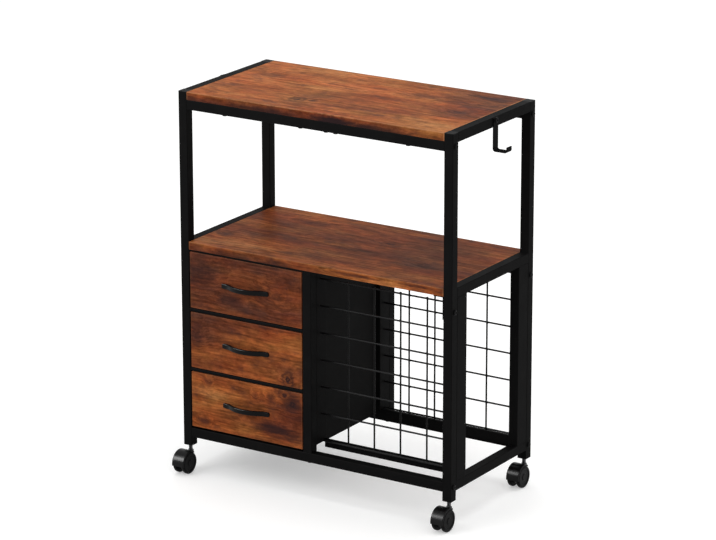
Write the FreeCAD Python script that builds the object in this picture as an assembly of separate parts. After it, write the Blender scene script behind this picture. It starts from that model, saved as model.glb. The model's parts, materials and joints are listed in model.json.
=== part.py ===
import FreeCAD, Part
import math
import os
from FreeCAD import Vector

# Rolling craft cart: two welded side frames joined by bolted cross rails, a wooden top and shelf,
# three fabric drawers with wooden fronts, a wire rack for rolls, two side hooks and four casters.
# Millimetres, +Z up, floor at Z 0, front towards -Y, origin under the middle of the whole cart.

# Overall frame
width = 700.0
depth = 344.0
height = 879.0
tube = 22.0
tube_wall = 1.2
tube_edge = 1.5
post_foot = 61.5
plug_flange = 2.0
plug_length = 25.0
plug_clearance = 0.1
cap_flange = 1.5
cap_length = 12.0
vent_radius = 4.0

# Levels
bottom_rail_z = 82.5
floor_lift = 3.5
shelf_gap = 4.5
board_thickness = 18.0
board_edge = 1.0

# Middle divider and drawers
drawer_bay_width = 299.0
bar_height = 7.0
front_height = 129.0
front_thickness = 12.0
front_side_gap = 2.2
front_edge = 1.2
drawer_gap = 1.5
bin_side_gap = 5.0
bin_depth = 300.0
bin_drop = 17.0
bin_wall = 2.0
base_thickness = 3.0
base_gap = 0.3
drawer_names = ("bottom", "middle", "top")

# Drawer runners
runner_flange = 14.0
runner_leg = 14.0
runner_sheet = 1.2
runner_seat = 8.0

# Bow handles
handle_screw_spacing = 96.0
handle_length = 124.0
handle_reach = 18.0
handle_strap = 4.6
handle_foot = 3.0
handle_height = 11.0
handle_edge = 1.8
handle_corner = 4.5
handle_tip = 2.5
handle_shoulder = 44.0
handle_shoulder_reach = 5.5
handle_shoulder_turn = 36.0

# Roll rack
upright_depth = 40.0
rack_lift = 15.0
rack_head_gap = 23.5
rack_bar_height = 20.0
rack_bar_sheet = 3.0
rack_bar_inset = 8.0
panel_thickness = 3.0
wire = 4.0
wire_gap = 0.1
roll_columns = 5
roll_rows = 6

# Side hooks
hook_width = 19.0
hook_sheet = 2.5
hook_drop = 74.0
hook_reach = 36.0
hook_tip = 13.0
hook_top_gap = 1.0
hook_screw_drop = 7.0
hook_bend = 4.0

# Shelf brackets
bracket_sheet = 1.6
bracket_drop = 51.0
bracket_flange = 24.0
bracket_bolt_drop = 34.0

# Fasteners
bolt_radius = 3.0
bolt_head_radius = 6.0
bolt_head_height = 3.5
bolt_grip = 12.0
head_crown = 0.6
socket_share = 0.45
socket_depth_share = 0.55
insert_length = 15.0
bolt_clearance = 0.2
screw_radius = 2.0
screw_head_radius = 4.0
screw_head_height = 1.8
screw_bite = 12.0
screw_clearance = 0.05
handle_bite = 3.2
board_screw_outer = 234.0
board_screw_left = 37.5
board_screw_right = 27.5
board_screw_spare = 52.0

# Casters
wheel_radius = 25.0
wheel_thickness = 9.0
wheel_spacing = 23.0
wheel_edge = 3.0
wheel_dish = 1.2
wheel_dish_radius = 18.5
wheel_hub_radius = 7.0
caster_trail = 24.0
stem_radius = 4.25
stem_collar_radius = 5.2
stem_collar = 2.0
boss_radius = 6.6
boss_top = 47.0
boss_floor = 2.0
boss_depth = 17.5
web_gap = 0.8
web_radius = 17.0
fender_gap = 1.2
fender_wall = 2.5
fender_round = 2.0
fender_front_angle = 186.0
fender_back_angle = 48.0
fender_tail_round = 9.0
axle_radius = 3.0
running_gap = 0.05
thrust_gap = 0.3
axle_end_wall = 3.0

# Places worked out from the sizes above
front_reach = depth / 2 - tube / 2 + caster_trail + wheel_radius + fender_gap + fender_wall
mid_y = (front_reach - depth / 2) / 2
front_y = mid_y - depth / 2
rear_y = mid_y + depth / 2
inner_x = width / 2 - tube
inner_front = front_y + tube
inner_rear = rear_y - tube
post_centre_x = width / 2 - tube / 2
tube_bore = tube - 2 * tube_wall
board_bottom = height - board_thickness
top_rail_z = board_bottom - tube
rail_top = bottom_rail_z + tube
divider_x0 = -inner_x + drawer_bay_width
divider_x1 = divider_x0 + tube
drawer_pitch = front_height + 2 * drawer_gap + bar_height
drawer_floors = [rail_top + floor_lift + index * drawer_pitch for index in range(len(drawer_names))]
bin_height = front_height - bin_drop
shelf_bottom = drawer_floors[-1] + drawer_gap + front_height + shelf_gap
shelf_top = shelf_bottom + board_thickness
side_rail_tops = (rail_top, shelf_top, height)
drawer_centre_x = (-inner_x + divider_x0) / 2
front_back_y = front_y + front_thickness
rack_foot = rail_top + rack_lift
rack_start = rack_foot + wire / 2
column_pitch = (inner_x - divider_x1) / roll_columns
row_pitch = (shelf_bottom - rack_start - wire - rack_head_gap) / roll_rows
caster_places = {
    "front_left": (-post_centre_x, front_y + tube / 2),
    "front_right": (post_centre_x, front_y + tube / 2),
    "rear_left": (-post_centre_x, rear_y - tube / 2),
    "rear_right": (post_centre_x, rear_y - tube / 2),
}
axes = {"x": Vector(1, 0, 0), "y": Vector(0, 1, 0), "z": Vector(0, 0, 1)}


def save(node, *solids):
    shape = solids[0] if len(solids) == 1 else Part.makeCompound(list(solids))
    shape.exportStep("parts/" + node + ".step")


def box(x0, x1, y0, y1, z0, z1):
    return Part.makeBox(x1 - x0, y1 - y0, z1 - z0, Vector(x0, y0, z0))


def rod(radius, start, end):
    way = end - start
    return Part.makeCylinder(radius, way.Length, start, way)


def edges_along(shape, axis):
    way = axes[axis]
    picked = []
    for edge in shape.Edges:
        run = edge.Vertexes[-1].Point - edge.Vertexes[0].Point
        if run.Length > 1e-6 and abs(abs(run.normalize().dot(way)) - 1) < 1e-6:
            picked.append(edge)
    return picked


# Rectangular tube with rounded corners, open at both ends
def hollow(axis, x0, x1, y0, y1, z0, z1):
    outer = box(x0, x1, y0, y1, z0, z1)
    outer = outer.makeFillet(tube_edge, edges_along(outer, axis))
    inset = {name: 0.0 if name == axis else tube_wall for name in axes}
    bore = box(x0 + inset["x"], x1 - inset["x"], y0 + inset["y"], y1 - inset["y"],
               z0 + inset["z"], z1 - inset["z"])
    return outer.cut(bore)


def rounded_board(x0, x1, y0, y1, z0, z1, radius):
    board = box(x0, x1, y0, y1, z0, z1)
    return board.makeFillet(radius, board.Edges)


# Button head at the given point with its shank running along the unit vector
def bolt(point, way, shank, radius, head_radius, head_height):
    head = Part.makeCylinder(head_radius, head_height, point - way * head_height, way)
    crown = [edge for edge in head.Edges if edge.CenterOfMass.sub(point).dot(way) < -head_height / 2
             and edge.Closed and len(edge.Vertexes) == 1]
    head = head.makeFillet(head_height * head_crown, crown)
    made = head.fuse(Part.makeCylinder(radius, shank, point, way)).removeSplitter()
    side = axes["x"] if abs(way.z) > abs(way.x) else axes["z"]
    across = way.cross(side)
    reach = head_radius * socket_share
    turns = [math.radians(60 * index) for index in range(7)]
    corners = [point - way * head_height + (side * math.cos(turn) + across * math.sin(turn)) * reach
               for turn in turns]
    socket = Part.Face(Part.makePolygon(corners)).extrude(way * head_height * socket_depth_share)
    return made.cut(socket)


def drill(shape, point, way, length, radius):
    return shape.cut(Part.makeCylinder(radius, length, point, way))


# Bolts that enter the outer faces of the posts, one list per level
def post_bolt_points(level):
    points = []
    for side in (-1, 1):
        for centre_y in (front_y + tube / 2, rear_y - tube / 2):
            points.append((Vector(side * width / 2, centre_y, level), Vector(-side, 0, 0)))
    return points


rail_bolt_levels = (bottom_rail_z + tube / 2, top_rail_z + tube / 2)
bracket_bolt_level = shelf_bottom - bracket_bolt_drop
hook_screw_z = height - hook_screw_drop


def build_side_frames():
    for name, side in (("left", -1), ("right", 1)):
        x0, x1 = sorted((side * inner_x, side * width / 2))
        tubes = []
        for y0 in (front_y, rear_y - tube):
            post = hollow("z", x0, x1, y0, y0 + tube, post_foot + plug_flange, height - cap_flange)
            for level in rail_bolt_levels + (bracket_bolt_level,):
                start = Vector(x0, y0 + tube / 2, level)
                post = drill(post, start, axes["x"], tube, bolt_radius + bolt_clearance)
            for level in side_rail_tops:
                vent = Vector((x0 + x1) / 2, mid_y - (depth / 2 - tube / 2), level - tube / 2)
                post = drill(post, vent, axes["y"], depth - tube, vent_radius)
            tubes.append(post)
        for level in side_rail_tops:
            rail = hollow("y", x0, x1, inner_front, inner_rear, level - tube, level)
            if level == height:
                start = Vector(x0, mid_y, hook_screw_z)
                rail = drill(rail, start, axes["x"], tube, screw_radius + screw_clearance)
            tubes.append(rail)
        save(name + "_side_frame", *tubes)


# The screws that hold the top board sit unevenly along the rail
def board_screw_places():
    return [-board_screw_outer, -board_screw_left, board_screw_right, board_screw_spare, board_screw_outer]


def build_cross_rails():
    inserts = []
    reach = tube_bore / 2 - plug_clearance
    for level, z0 in (("bottom", bottom_rail_z), ("top", top_rail_z)):
        for place, y0 in (("front", front_y), ("rear", rear_y - tube)):
            rail = hollow("x", -inner_x, inner_x, y0, y0 + tube, z0, z0 + tube)
            centre = Vector(0, y0 + tube / 2, z0 + tube / 2)
            if level == "top":
                for x in board_screw_places():
                    start = Vector(x, centre.y, z0)
                    rail = drill(rail, start, axes["z"], tube, screw_radius + screw_clearance)
            else:
                start = Vector((divider_x0 + divider_x1) / 2, centre.y, z0)
                rail = drill(rail, start, axes["z"], tube, bolt_radius + bolt_clearance)
            save(level + "_" + place + "_rail", rail)
            for side in (-1, 1):
                x0, x1 = sorted((side * inner_x, side * (inner_x - insert_length)))
                insert = box(x0, x1, centre.y - reach, centre.y + reach, centre.z - reach, centre.z + reach)
                start = Vector(x0, centre.y, centre.z)
                inserts.append(drill(insert, start, axes["x"], insert_length, bolt_radius))
    divider_x = (divider_x0 + divider_x1) / 2
    for centre_y in (front_y + tube / 2, rear_y - tube / 2):
        insert = box(divider_x - reach, divider_x + reach, centre_y - reach, centre_y + reach,
                     rail_top, rail_top + insert_length)
        start = Vector(divider_x, centre_y, rail_top)
        inserts.append(drill(insert, start, axes["z"], insert_length, bolt_radius))
    save("rail_inserts", *inserts)


def build_boards():
    top = rounded_board(-inner_x, inner_x, front_y, rear_y, board_bottom, height, board_edge)
    shelf = rounded_board(-inner_x, inner_x, front_y, rear_y, shelf_bottom, shelf_top, board_edge)
    for side in (-1, 1):
        pilot = Vector(side * inner_x, mid_y, hook_screw_z)
        top = drill(top, pilot, Vector(-side, 0, 0), screw_bite, screw_radius)
    for x in board_screw_places():
        for centre_y in (front_y + tube / 2, rear_y - tube / 2):
            top = drill(top, Vector(x, centre_y, board_bottom), axes["z"], screw_bite, screw_radius)
    for x, y in bracket_screw_places():
        shelf = drill(shelf, Vector(x, y, shelf_bottom), axes["z"], screw_bite, screw_radius)
    save("top_board", top)
    save("middle_shelf", shelf)


def bracket_screw_places():
    places = []
    for side in (-1, 1):
        for centre_y in (front_y + tube / 2, rear_y - tube / 2):
            places.append((side * (inner_x - (bracket_sheet + bracket_flange) / 2), centre_y))
    return places


def build_shelf_brackets():
    brackets = []
    for side in (-1, 1):
        for y0 in (front_y, rear_y - tube):
            x0, x1 = sorted((side * inner_x, side * (inner_x - bracket_sheet)))
            plate = box(x0, x1, y0, y0 + tube, shelf_bottom - bracket_drop, shelf_bottom)
            x0, x1 = sorted((side * inner_x, side * (inner_x - bracket_flange)))
            flange = box(x0, x1, y0, y0 + tube, shelf_bottom - bracket_sheet, shelf_bottom)
            bracket = plate.fuse(flange).removeSplitter()
            start = Vector(side * inner_x, y0 + tube / 2, bracket_bolt_level)
            bracket = drill(bracket, start, Vector(-side, 0, 0), bracket_sheet, bolt_radius)
            brackets.append(bracket)
    for index, (x, y) in enumerate(bracket_screw_places()):
        start = Vector(x, y, shelf_bottom - bracket_sheet)
        hole = screw_radius + screw_clearance
        brackets[index] = drill(brackets[index], start, axes["z"], bracket_sheet, hole)
    save("shelf_brackets", *brackets)


def build_divider():
    for place, y0 in (("front", front_y), ("rear", rear_y - tube)):
        save("divider_" + place + "_post",
             hollow("z", divider_x0, divider_x1, y0, y0 + tube, rail_top, shelf_bottom))
    panel_x = (divider_x0 + divider_x1) / 2
    save("divider_panel", box(panel_x - panel_thickness / 2, panel_x + panel_thickness / 2,
                              inner_front + upright_depth, inner_rear - upright_depth,
                              rack_foot, shelf_bottom))
    bars = []
    for floor in drawer_floors[1:]:
        for y0 in (front_y, rear_y - tube):
            bars.append(hollow("x", -inner_x, divider_x0, y0, y0 + tube, floor - bar_height, floor))
    # flat strip under the shelf that closes the gap over the top drawer
    bars.append(box(bracket_flange - inner_x, divider_x0, front_y, front_back_y,
                    shelf_bottom - shelf_gap + drawer_gap, shelf_bottom))
    save("drawer_bars", *bars)


# Angle that carries one edge of a drawer, resting on the bars or the bottom rails at both ends
def build_runners():
    y0 = inner_front - runner_seat
    y1 = inner_rear + runner_seat
    for name, wall, side in (("left", -inner_x, 1), ("right", divider_x0, -1)):
        runners = []
        for floor in drawer_floors:
            x0, x1 = sorted((wall, wall + side * runner_flange))
            flange = box(x0, x1, y0, y1, floor, floor + runner_sheet)
            x0, x1 = sorted((wall, wall + side * runner_sheet))
            foot = rail_top if floor == drawer_floors[0] else floor
            leg = box(x0, x1, y0, y1, foot, floor + runner_leg)
            runners.append(flange.fuse(leg).removeSplitter())
        save(name + "_drawer_runners", *runners)


def handle_screw_points(floor):
    level = floor + drawer_gap + front_height / 2
    inside = front_back_y + bin_wall
    return [Vector(drawer_centre_x + side * handle_screw_spacing / 2, inside, level) for side in (-1, 1)]


def upright_edges(shape, points):
    found = []
    for edge in shape.Edges:
        span = edge.BoundBox
        if span.ZLength > max(span.XLength, span.YLength):
            if any(math.hypot(span.XMin - point.x, span.YMin - point.y) < 0.01 for point in points):
                found.append(edge)
    return found


# Bow strap drawn from above, with rounded shoulders, tips and outer edges
def make_handle(centre_x, face_y, level):
    half = handle_length / 2
    foot = level - handle_height / 2
    plan = [Vector(centre_x - half, face_y, foot),
            Vector(centre_x - half, face_y - handle_foot, foot),
            Vector(centre_x - handle_shoulder, face_y - handle_shoulder_reach, foot),
            Vector(centre_x, face_y - handle_reach, foot),
            Vector(centre_x + handle_shoulder, face_y - handle_shoulder_reach, foot),
            Vector(centre_x + half, face_y - handle_foot, foot),
            Vector(centre_x + half, face_y, foot),
            Vector(centre_x + handle_shoulder, face_y, foot),
            Vector(centre_x, face_y - handle_reach + handle_strap, foot),
            Vector(centre_x - handle_shoulder, face_y, foot)]
    edges = [Part.makeLine(plan[0], plan[1]),
             Part.makeLine(plan[1], plan[2]),
             Part.Arc(plan[2], plan[3], plan[4]).toShape(),
             Part.makeLine(plan[4], plan[5]),
             Part.makeLine(plan[5], plan[6]),
             Part.makeLine(plan[6], plan[7]),
             Part.Arc(plan[7], plan[8], plan[9]).toShape(),
             Part.makeLine(plan[9], plan[0])]
    bow = Part.Face(Part.Wire(edges)).extrude(Vector(0, 0, handle_height))
    bow = bow.makeFillet(handle_shoulder_turn, upright_edges(bow, (plan[2], plan[4])))
    bow = bow.makeFillet(handle_tip, upright_edges(bow, (plan[1], plan[5])))
    rim = []
    for edge in bow.Edges:
        span = edge.BoundBox
        if span.ZLength < 0.01 and span.YMin < face_y - handle_reach + handle_strap / 2:
            rim.append(edge)
    bow = bow.makeFillet(handle_edge, rim)
    outline = box(centre_x - half, centre_x + half, face_y - 2 * handle_reach, face_y + handle_reach,
                  foot, foot + handle_height)
    outline = outline.makeFillet(handle_corner, edges_along(outline, "y"))
    return bow.common(outline).Solids[0]


def build_drawers():
    x0 = -inner_x + front_side_gap
    x1 = divider_x0 - front_side_gap
    bin_x0 = -inner_x + bin_side_gap
    bin_x1 = divider_x0 - bin_side_gap
    bin_rear = front_back_y + bin_depth
    for name, floor in zip(drawer_names, drawer_floors):
        z0 = floor + drawer_gap
        front = rounded_board(x0, x1, front_y, front_back_y, z0, z0 + front_height, front_edge)
        shell = box(bin_x0, bin_x1, front_back_y, bin_rear, z0, z0 + bin_height)
        shell = shell.cut(box(bin_x0 + bin_wall, bin_x1 - bin_wall, front_back_y + bin_wall,
                              bin_rear - bin_wall, z0 + bin_wall, z0 + bin_height))
        inset = bin_wall + base_gap
        base = box(bin_x0 + inset, bin_x1 - inset, front_back_y + inset, bin_rear - inset,
                   z0 + bin_wall, z0 + bin_wall + base_thickness)
        handle = make_handle(drawer_centre_x, front_y, z0 + front_height / 2)
        shank = bin_wall + front_thickness + handle_bite
        screws = []
        for point in handle_screw_points(floor):
            way = Vector(0, -1, 0)
            front = drill(front, point, way, shank, screw_radius + screw_clearance)
            shell = drill(shell, point, way, shank, screw_radius + screw_clearance)
            handle = drill(handle, point, way, shank, screw_radius)
            screws.append(wood_screw(point, way, shank))
        save(name + "_drawer_front", front)
        save(name + "_drawer_bin", shell)
        save(name + "_drawer_base", base)
        save(name + "_drawer_handle", handle)
        save(name + "_drawer_screws", *screws)


def build_roll_rack():
    spans = ((inner_front, inner_front + upright_depth), (inner_rear - upright_depth, inner_rear))
    middle_rail_bottom = shelf_top - tube
    save("left_rack_uprights",
         *[hollow("z", divider_x0, divider_x1, y0, y1, rack_foot, shelf_bottom) for y0, y1 in spans])
    save("right_rack_uprights",
         *[hollow("z", inner_x, width / 2, y0, y1, rail_top, middle_rail_bottom) for y0, y1 in spans])
    bars = []
    for place_y in (spans[0][1] - rack_bar_inset, spans[1][0] + rack_bar_inset - rack_bar_sheet):
        bars.append(box(divider_x1, inner_x, place_y, place_y + rack_bar_sheet,
                        rail_top, rail_top + rack_bar_height))
    save("rack_lower_bars", *bars)
    first_rod = rack_start + wire / 2
    last_rod = first_rod + roll_rows * row_pitch
    for place, (y0, y1), inward in (("front", spans[0], 1), ("rear", spans[1], -1)):
        rod_y = (y0 + y1) / 2
        wire_y = rod_y + inward * (wire + wire_gap)
        wires = []
        for row in range(roll_rows + 1):
            z = first_rod + row * row_pitch
            wires.append(rod(wire / 2, Vector(divider_x1, rod_y, z), Vector(inner_x, rod_y, z)))
        for column in range(1, roll_columns):
            x = divider_x1 + column * column_pitch
            wires.append(rod(wire / 2, Vector(x, wire_y, rack_start), Vector(x, wire_y, last_rod + wire / 2)))
        save(place + "_roll_grid", *wires)


# Strap screwed to the outer face of the top side rail, turned out below it and up at the tip
def build_side_hooks():
    top = height - hook_top_gap
    low = height - hook_drop
    back = width / 2
    face = back + hook_sheet
    outside = back + hook_reach
    tip = outside - hook_sheet
    tread = low + hook_sheet
    outline = [(back, top), (back, low), (outside, low), (outside, low + hook_tip),
               (tip, low + hook_tip), (tip, tread), (face, tread), (face, top)]
    bends = {(back, low): hook_bend + hook_sheet, (outside, low): hook_bend + hook_sheet,
             (tip, tread): hook_bend, (face, tread): hook_bend}
    for name, side in (("left", -1), ("right", 1)):
        points = [Vector(side * x, mid_y - hook_width / 2, z) for x, z in outline]
        strap = Part.Face(Part.makePolygon(points + points[:1])).extrude(Vector(0, hook_width, 0))
        for (x, z), radius in bends.items():
            corner = [edge for edge in edges_along(strap, "y")
                      if edge.CenterOfMass.sub(Vector(side * x, mid_y, z)).Length < hook_sheet / 2]
            strap = strap.makeFillet(radius, corner)
        start = Vector(side * face, mid_y, hook_screw_z)
        strap = drill(strap, start, Vector(-side, 0, 0), hook_sheet, screw_radius + screw_clearance)
        save(name + "_side_hook", strap)


def frame_bolt(point, way, grip):
    return bolt(point, way, grip, bolt_radius, bolt_head_radius, bolt_head_height)


def wood_screw(point, way, grip):
    return bolt(point, way, grip, screw_radius, screw_head_radius, screw_head_height)


def wide_screw(point, way, grip):
    return bolt(point, way, grip, screw_radius, bolt_head_radius, bolt_head_height)


def build_fasteners():
    bolts = []
    for level in rail_bolt_levels:
        for point, way in post_bolt_points(level):
            bolts.append(frame_bolt(point, way, tube + bolt_grip))
    for point, way in post_bolt_points(bracket_bolt_level):
        bolts.append(frame_bolt(point, way, tube + bracket_sheet))
    for centre_y in (front_y + tube / 2, rear_y - tube / 2):
        point = Vector((divider_x0 + divider_x1) / 2, centre_y, bottom_rail_z)
        bolts.append(frame_bolt(point, axes["z"], tube + bolt_grip))
    save("frame_bolts", *bolts)

    screws = []
    for x in board_screw_places():
        for centre_y in (front_y + tube / 2, rear_y - tube / 2):
            point = Vector(x, centre_y, top_rail_z)
            screws.append(wide_screw(point, axes["z"], tube + screw_bite))
    for x, y in bracket_screw_places():
        point = Vector(x, y, shelf_bottom - bracket_sheet)
        screws.append(wood_screw(point, axes["z"], bracket_sheet + screw_bite))
    for side in (-1, 1):
        point = Vector(side * (width / 2 + hook_sheet), mid_y, hook_screw_z)
        screws.append(wide_screw(point, Vector(-side, 0, 0), hook_sheet + tube + screw_bite))
    save("board_screws", *screws)


def build_post_ends():
    caps = []
    sockets = []
    stems = []
    reach = tube_bore / 2 - plug_clearance
    tube_foot = post_foot + plug_flange
    stem_foot = boss_top - boss_depth + boss_floor + thrust_gap
    stem_head = tube_foot + plug_length - plug_flange
    for x, y in caster_places.values():
        cap = box(x - tube / 2, x + tube / 2, y - tube / 2, y + tube / 2, height - cap_flange, height)
        cap = cap.makeFillet(tube_edge, edges_along(cap, "z"))
        cap_foot = height - cap_flange
        tongue = box(x - reach, x + reach, y - reach, y + reach, cap_foot - cap_length, cap_foot)
        caps.append(cap.fuse(tongue).removeSplitter())
        flange = box(x - tube / 2, x + tube / 2, y - tube / 2, y + tube / 2, post_foot, tube_foot)
        flange = flange.makeFillet(tube_edge, edges_along(flange, "z"))
        body = box(x - reach, x + reach, y - reach, y + reach, tube_foot, tube_foot + plug_length)
        socket = flange.fuse(body).removeSplitter()
        sockets.append(drill(socket, Vector(x, y, post_foot), axes["z"], stem_head - post_foot, stem_radius))
        stem = rod(stem_radius, Vector(x, y, stem_foot), Vector(x, y, stem_head))
        collar_z = boss_top + thrust_gap
        collar = rod(stem_collar_radius, Vector(x, y, collar_z), Vector(x, y, collar_z + stem_collar))
        stems.append(stem.fuse(collar).removeSplitter())
    save("post_caps", *caps)
    save("caster_sockets", *sockets)
    save("caster_stems", *stems)


# Twin-wheel caster body: a web between the wheels, a neck with the stem's boss and an arched fender
def make_hood(x, axle_y, stem_y):
    half = wheel_spacing / 2 - wheel_thickness / 2 - web_gap
    neck_foot = boss_top - boss_depth
    web = Part.makeCylinder(web_radius, 2 * half, Vector(x - half, axle_y, wheel_radius), axes["x"])
    neck = box(x - half, x + half, axle_y, stem_y, neck_foot, boss_top - fender_wall)
    boss = rod(boss_radius, Vector(x, stem_y, neck_foot), Vector(x, stem_y, boss_top))
    inner = wheel_radius + fender_gap
    outer = inner + fender_wall
    reach = wheel_spacing / 2 + wheel_thickness / 2
    turn = fender_round * (1 - math.sqrt(0.5))
    section = [Vector(-reach, 0, inner), Vector(-reach, 0, outer - fender_round),
               Vector(turn - reach, 0, outer - turn), Vector(fender_round - reach, 0, outer),
               Vector(reach - fender_round, 0, outer), Vector(reach - turn, 0, outer - turn),
               Vector(reach, 0, outer - fender_round), Vector(reach, 0, inner)]
    edges = [Part.makeLine(section[0], section[1]),
             Part.Arc(section[1], section[2], section[3]).toShape(),
             Part.makeLine(section[3], section[4]),
             Part.Arc(section[4], section[5], section[6]).toShape(),
             Part.makeLine(section[6], section[7]),
             Part.makeLine(section[7], section[0])]
    profile = Part.Face(Part.Wire(edges))
    profile.rotate(Vector(0, 0, 0), axes["x"], fender_back_angle - 90)
    fender = profile.revolve(Vector(0, 0, 0), axes["x"], fender_front_angle - fender_back_angle)
    fender.translate(Vector(x, axle_y, wheel_radius))
    # seen from above the fender narrows towards the boss
    tail_y = fender.BoundBox.YMax
    plan = box(x - reach, x + reach, axle_y - 2 * outer, tail_y, 0, 2 * outer + wheel_radius)
    tail = [edge for edge in edges_along(plan, "z") if edge.CenterOfMass.y > axle_y]
    fender = fender.common(plan.makeFillet(fender_tail_round, tail))
    bridge = box(x - half, x + half, axle_y - fender_wall, axle_y + fender_wall, wheel_radius,
                 wheel_radius + inner + fender_wall / 2)
    hood = web.fuse(neck).fuse(boss).fuse(bridge).fuse(fender).removeSplitter()
    bore_foot = Vector(x, stem_y, neck_foot + boss_floor)
    hood = drill(hood, bore_foot, axes["z"], 2 * boss_depth, stem_radius + running_gap)
    return drill(hood, Vector(x - half, axle_y, wheel_radius), axes["x"], 2 * half, axle_radius)


# Wheel turned about its own axle: inner face at the web side, dished outer face
def make_wheel(x, axle_y, side):
    inner_face = wheel_spacing / 2 - wheel_thickness / 2
    outer_face = inner_face + wheel_thickness
    bore = axle_radius + running_gap
    blind = outer_face - axle_end_wall + thrust_gap
    turn = wheel_edge * (1 - math.sqrt(0.5))
    profile = [Vector(inner_face, bore, 0),
               Vector(inner_face, wheel_radius - wheel_edge, 0),
               Vector(inner_face + turn, wheel_radius - turn, 0),
               Vector(inner_face + wheel_edge, wheel_radius, 0),
               Vector(outer_face - wheel_edge, wheel_radius, 0),
               Vector(outer_face - turn, wheel_radius - turn, 0),
               Vector(outer_face, wheel_radius - wheel_edge, 0),
               Vector(outer_face, wheel_dish_radius, 0),
               Vector(outer_face - wheel_dish, wheel_dish_radius - wheel_dish, 0),
               Vector(outer_face - wheel_dish, wheel_hub_radius + wheel_dish, 0),
               Vector(outer_face, wheel_hub_radius, 0),
               Vector(outer_face, 0, 0),
               Vector(blind, 0, 0),
               Vector(blind, bore, 0)]
    edges = [Part.makeLine(profile[0], profile[1]),
             Part.Arc(profile[1], profile[2], profile[3]).toShape(),
             Part.makeLine(profile[3], profile[4]),
             Part.Arc(profile[4], profile[5], profile[6]).toShape()]
    for start, end in zip(profile[6:], profile[7:] + profile[:1]):
        edges.append(Part.makeLine(start, end))
    wheel = Part.Face(Part.Wire(edges)).revolve(Vector(0, 0, 0), axes["x"], 360)
    if side < 0:
        wheel = wheel.mirror(Vector(0, 0, 0), axes["x"])
    wheel.translate(Vector(x, axle_y, wheel_radius))
    return wheel


def build_casters():
    axle_reach = wheel_spacing / 2 + wheel_thickness / 2 - axle_end_wall
    for name, (x, stem_y) in caster_places.items():
        axle_y = stem_y - caster_trail
        save(name + "_caster_hood", make_hood(x, axle_y, stem_y))
        save(name + "_caster_axle", rod(axle_radius, Vector(x - axle_reach, axle_y, wheel_radius),
                                        Vector(x + axle_reach, axle_y, wheel_radius)))
        save(name + "_caster_left_wheel", make_wheel(x, axle_y, -1))
        save(name + "_caster_right_wheel", make_wheel(x, axle_y, 1))


os.makedirs("parts", exist_ok=True)
build_side_frames()
build_cross_rails()
build_boards()
build_shelf_brackets()
build_divider()
build_runners()
build_drawers()
build_roll_rack()
build_side_hooks()
build_fasteners()
build_post_ends()
build_casters()
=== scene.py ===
import json
import math

import bmesh
import bpy
from mathutils import Matrix, Vector


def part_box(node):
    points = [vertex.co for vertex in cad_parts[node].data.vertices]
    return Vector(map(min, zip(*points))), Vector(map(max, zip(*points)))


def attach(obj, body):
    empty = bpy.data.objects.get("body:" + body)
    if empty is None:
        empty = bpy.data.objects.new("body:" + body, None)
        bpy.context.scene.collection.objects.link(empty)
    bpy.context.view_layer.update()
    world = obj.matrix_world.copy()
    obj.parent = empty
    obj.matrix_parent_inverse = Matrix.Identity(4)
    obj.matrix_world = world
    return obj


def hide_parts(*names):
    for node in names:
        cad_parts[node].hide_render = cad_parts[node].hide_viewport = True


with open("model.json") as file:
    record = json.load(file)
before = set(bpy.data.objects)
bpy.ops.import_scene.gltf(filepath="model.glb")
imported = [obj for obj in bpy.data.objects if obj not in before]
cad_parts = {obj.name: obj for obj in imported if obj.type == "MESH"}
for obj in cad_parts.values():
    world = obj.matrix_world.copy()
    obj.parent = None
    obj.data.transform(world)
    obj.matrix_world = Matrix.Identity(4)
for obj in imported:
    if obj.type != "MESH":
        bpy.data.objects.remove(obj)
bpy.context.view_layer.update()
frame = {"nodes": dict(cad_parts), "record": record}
nodes = frame["nodes"]
print("frame loaded:", len(nodes), "nodes")


# small helpers for node trees

def addNode(tree, kind, sockets=None, **settings):
    made = tree.nodes.new(kind)
    for name, value in settings.items():
        setattr(made, name, value)
    for key, value in (sockets or {}).items():
        if isinstance(value, bpy.types.NodeSocket):
            tree.links.new(value, made.inputs[key])
        else:
            made.inputs[key].default_value = value
    return made


def calc(tree, operation, first, second=0.0):
    return addNode(tree, "ShaderNodeMath", {0: first, 1: second}, operation=operation).outputs[0]


def calcVector(tree, operation, first, second):
    sockets = {0: first, 1: second}
    return addNode(tree, "ShaderNodeVectorMath", sockets, operation=operation).outputs[0]


def blendColors(tree, factor, first, second, blend="MIX"):
    sockets = {0: factor, 6: first, 7: second}
    made = addNode(tree, "ShaderNodeMix", sockets, data_type="RGBA", blend_type=blend)
    return made.outputs[2]


def remap(tree, value, fromLow, fromHigh, toLow, toHigh):
    sockets = {0: value, 1: fromLow, 2: fromHigh, 3: toLow, 4: toHigh}
    return addNode(tree, "ShaderNodeMapRange", sockets, clamp=True).outputs[0]


def noiseAt(tree, vector, scale, detail=3.0, roughness=0.55, distortion=0.0):
    sockets = {"Vector": vector, "Scale": scale, "Detail": detail, "Roughness": roughness,
               "Distortion": distortion}
    return addNode(tree, "ShaderNodeTexNoise", sockets).outputs["Fac"]


def stretched(tree, vector, scale, place=(0.0, 0.0, 0.0)):
    sockets = {"Vector": vector, "Scale": scale, "Location": place}
    return addNode(tree, "ShaderNodeMapping", sockets).outputs[0]


def colorRamp(tree, factor, stops):
    made = addNode(tree, "ShaderNodeValToRGB", {0: factor})
    ramp = made.color_ramp
    while len(ramp.elements) < len(stops):
        ramp.elements.new(0.5)
    for element, (place, color) in zip(ramp.elements, stops):
        element.position = place
        element.color = (*color, 1.0)
    return made.outputs[0]


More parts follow.
